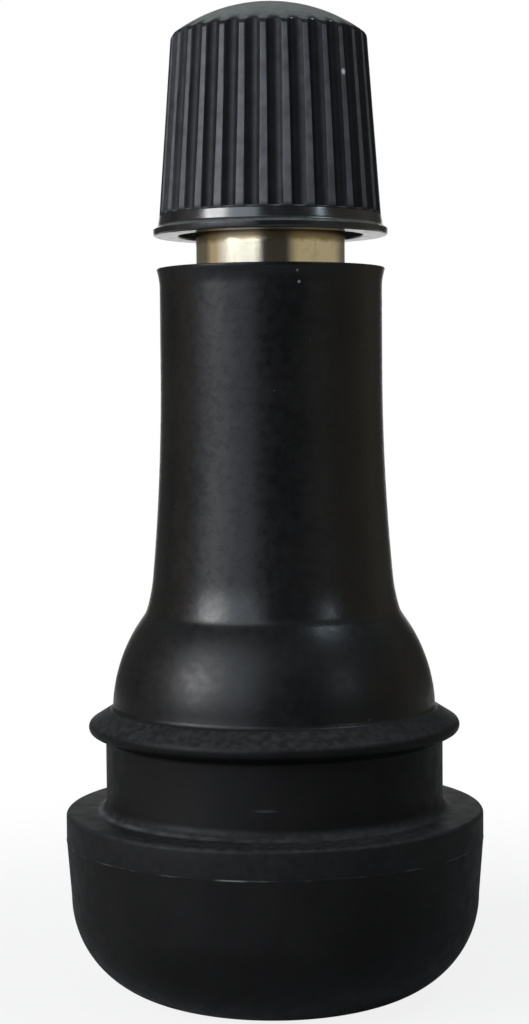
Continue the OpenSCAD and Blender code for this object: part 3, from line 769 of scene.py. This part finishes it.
def valve_cap(material, ribbed):
    """Moulded cap: thread, seal recess and pocket inside; flange, ribs and crown outside."""
    wall_r = (CAP_MOUTH_R + CAP_FLANGE_R) / 2
    inside = rounded([
        (0, POCKET_TOP),
        (POCKET_TOP_R, POCKET_TOP, 0.15),
        (POCKET_R, SEAL_TOP),
        (SEAL_RECESS_R, SEAL_TOP, 0.05),
        (SEAL_RECESS_R, SEAL_FOOT),
        (CAP_BORE_R, SEAL_FOOT),
        (CAP_BORE_R, CAP_FOOT + CAP_MOUTH_H + CAP_MOUTH_R - CAP_BORE_R),
        (CAP_MOUTH_R, CAP_FOOT + CAP_MOUTH_H),
        (CAP_MOUTH_R, CAP_FOOT, 0.1),
        (wall_r, CAP_FOOT),
    ])
    inside = spaced(inside, CAP_FOOT + CAP_MOUTH_H, SEAL_FOOT, STEM_PITCH / 10)
    lower = rounded([
        (wall_r + 0.1, CAP_FOOT),
        (CAP_FLANGE_R, CAP_FOOT, CAP_FLANGE_EDGE),
        (CAP_FLANGE_R, CAP_FOOT + CAP_FLANGE_H),
    ])
    slope_h = CAP_LOW_Z - CAP_FOOT - CAP_FLANGE_H
    rest = CAP_FLANGE_R - CAP_LOW_R - CAP_FLANGE_LEAN * slope_h
    for t in np.linspace(0, 1, 17)[1:]:
        out = rest * max(0, 1 - t / CAP_FLANGE_BEND) ** 2
        lower.append((CAP_LOW_R + CAP_FLANGE_LEAN * slope_h * (1 - t) + out, CAP_LOW_Z - slope_h * (1 - t)))
    edge_r, edge_z = crown_edge()
    crown_z = CAP_TOP - CROWN_R
    crown_start = math.atan2(edge_z - crown_z, edge_r)
    rises = [0.04, 0.08, 0.12, 0.2, 0.4, *np.linspace(0.8, edge_z - CAP_LOW_Z - 0.05, 14)]
    side = [(CAP_LOW_R - CAP_TAPER * rise, CAP_LOW_Z + rise) for rise in rises]
    edge = arc((edge_r, edge_z), CROWN_EDGE, math.atan(CAP_TAPER), crown_start, math.radians(8))
    crown = arc((0, crown_z), CROWN_R, crown_start, math.pi / 2, math.radians(3))[1:]
    outside = lower + side + edge + crown
    stretches = [(inside, cap_thread), (outside, cap_ribs)]
    piece = turned("valve_cap_moulded", stretches, RIB_COUNT * RIB_SAMPLES, False)
    dress(piece, "valve_cap", "cap", material)
    piece.data.materials.append(ribbed)
    for face in piece.data.polygons:
        face.material_index = int(CAP_LOW_Z < face.center.z / MM < edge_z + CROWN_EDGE)


def carried_over(node, material):
    """CAD node that keeps its shape: its seams are welded, its edges eased and its finish set."""
    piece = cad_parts[node]
    piece.data.materials.clear()
    piece.data.materials.append(material)
    piece.data.shade_smooth()
    weld = piece.modifiers.new("weld", "WELD")
    weld.merge_threshold = 1e-7
    ease = piece.modifiers.new("ease", "BEVEL")
    ease.width = EASED_EDGE * MM
    ease.segments = 2
    ease.angle_limit = math.radians(40)
    piece.modifiers.new("normals", "WEIGHTED_NORMAL")


# Stage

def around(azimuth, elevation, distance):
    """Place at so many millimetres from the object, in metres; angles are in degrees from the viewer."""
    a = math.radians(azimuth)
    e = math.radians(elevation)
    way = Vector((math.sin(a) * math.cos(e), -math.cos(a) * math.cos(e), math.sin(e)))
    return (Vector((0, 0, AIM_H)) + way * distance) * MM


def soft_lamp(name, azimuth, elevation, width, height, power, colour):
    """Area lamp that faces the object; width and height are in millimetres."""
    data = bpy.data.lights.new(name, "AREA")
    data.shape = "RECTANGLE"
    data.size = width * MM
    data.size_y = height * MM
    data.energy = power
    data.color = colour
    lamp = bpy.data.objects.new(name, data)
    bpy.context.scene.collection.objects.link(lamp)
    lamp.location = around(azimuth, elevation, LAMP_DISTANCE)
    lamp.rotation_euler = (lamp.location - Vector((0, 0, AIM_H * MM))).to_track_quat("Z", "Y").to_euler()
    lamp.visible_camera = False


def mirrored(tree):
    """1 for rays that a shiny or clear surface sends on."""
    path = add(tree, "ShaderNodeLightPath").outputs
    return sums(tree, "MAXIMUM", path["Is Glossy Ray"], path["Is Transmission Ray"])


def room():
    """World: white where the camera looks and right behind the object, and a plain room for its light."""
    world = bpy.data.worlds.new("room")
    world.use_nodes = True
    bpy.context.scene.world = world
    tree = world.node_tree
    spot = add(tree, "ShaderNodeTexCoord").outputs["Generated"]
    way = add(tree, "ShaderNodeSeparateXYZ", {0: spot}).outputs
    azimuth = sums(tree, "ARCTAN2", way["X"], sums(tree, "MULTIPLY", way["Y"], -1.0))
    panels = add(tree, "ShaderNodeValToRGB", {0: sums(tree, "MULTIPLY_ADD", azimuth, 1 / TAU, 0.5)})
    bars = panels.color_ramp.elements
    while len(bars) < len(ROOM_PANELS):
        bars.new(0.5)
    for bar, (degrees, colour) in zip(bars, ROOM_PANELS):
        bar.position = degrees / 360 + 0.5
        bar.color = (*colour, 1)
    light = mixed(tree, ramp(tree, way["Z"], 0.3, 0.6), panels.outputs["Color"], CEILING)
    behind = sums(tree, "MULTIPLY", mirrored(tree), ramp(tree, way["Y"], 0.93, 0.97))
    seen = add(tree, "ShaderNodeLightPath").outputs["Is Camera Ray"]
    colour = mixed(tree, sums(tree, "MAXIMUM", seen, behind), light, (1.0, 1.0, 1.0))
    background = tree.nodes["Background"]
    tree.links.new(colour, background.inputs["Color"])
    background.inputs["Strength"].default_value = 1.0


def floor():
    """Pale round floor that runs into the white behind it, and keeps the object's soft shadow."""
    made, tree, shader, place = new_material("floor")
    output = tree.nodes["Material Output"]
    tree.nodes.remove(shader)
    plain = add(tree, "ShaderNodeBsdfDiffuse", {"Color": (*FLOOR_TONE, 1)}).outputs[0]
    white = add(tree, "ShaderNodeEmission", {"Color": (1, 1, 1, 1), "Strength": 1.0}).outputs[0]
    distance = add(tree, "ShaderNodeVectorMath", {0: place}, operation="LENGTH").outputs["Value"]
    back = add(tree, "ShaderNodeSeparateXYZ", {0: place}).outputs["Y"]
    seen = add(tree, "ShaderNodeLightPath").outputs["Is Camera Ray"]
    direct = sums(tree, "MULTIPLY", seen, ramp(tree, distance, *SHADOW_FADE, 0.85, 1))
    behind = sums(tree, "MULTIPLY", mirrored(tree), ramp(tree, back, *FLOOR_FADE))
    share = sums(tree, "MAXIMUM", direct, behind)
    surface = add(tree, "ShaderNodeMixShader", {0: share, 1: plain, 2: white}).outputs[0]
    tree.links.new(surface, output.inputs["Surface"])
    bpy.ops.mesh.primitive_circle_add(vertices=96, radius=FLOOR_R * MM, fill_type="NGON")
    disc = bpy.context.object
    disc.name = "floor"
    disc.data.materials.append(made)


def camera():
    """Camera at the photograph's angle."""
    data = bpy.data.cameras.new("camera")
    data.lens = FOCAL_PX * data.sensor_width / IMAGE_H
    data.clip_start = 0.005
    made = bpy.data.objects.new("camera", data)
    bpy.context.scene.collection.objects.link(made)
    turn = Matrix.Rotation(CAMERA_YAW, 4, "Z")
    turn = turn @ Matrix.Rotation(math.pi / 2 - CAMERA_TILT, 4, "X") @ Matrix.Rotation(CAMERA_ROLL, 4, "Z")
    made.matrix_world = Matrix.Translation((0, -CAMERA_BACK * MM, CAMERA_H * MM)) @ turn
    bpy.context.scene.camera = made


camera()
rubber_body(body_rubber("body_rubber", 0.22), body_rubber("shoulder_rubber", 0.17), dusty_rubber_painted_light())
brass_stem(brass("stem_brass", (0.92, 0.84, 0.62), (0.34, 0.25, 0.13), 0.1, CAP_FOOT))
core_finish = brass("core_brass", (0.76, 0.6, 0.33), (0.4, 0.29, 0.13), 0.2)
seal_finish = soft_rubber("seal_rubber", (0.014, 0.014, 0.014), (0.024, 0.024, 0.024), 0.55)
gasket_finish = soft_rubber("gasket_red", (0.25, 0.025, 0.018), (0.36, 0.04, 0.026), 0.5)
core_plug(core_finish)
core_spring(spring_steel())
glossy_plastic, *_ = cap_plastic("cap_plastic", 0.5, 0.16)
valve_cap(glossy_plastic, ribbed_plastic())
for inner in ("core_barrel", "core_pin", "core_cup"):
    carried_over(inner, core_finish)
for inner in ("cup_gasket", "cap_seal"):
    carried_over(inner, seal_finish)
carried_over("barrel_gasket", gasket_finish)
room()
floor()
soft_lamp("window", -60, 21, 124, 116, 0.66, (1.0, 0.98, 0.96))
soft_lamp("sky", -42, 27, 300, 210, 0.76, (0.8, 0.9, 1.0))
soft_lamp("side_lamp", 53, 20, 34, 28, 0.07, (0.75, 0.87, 1.0))
soft_lamp("roof_light", 73, 56, 90, 36, 0.2, (0.7, 0.85, 1.0))
bpy.context.scene.view_settings.view_transform = "Standard"
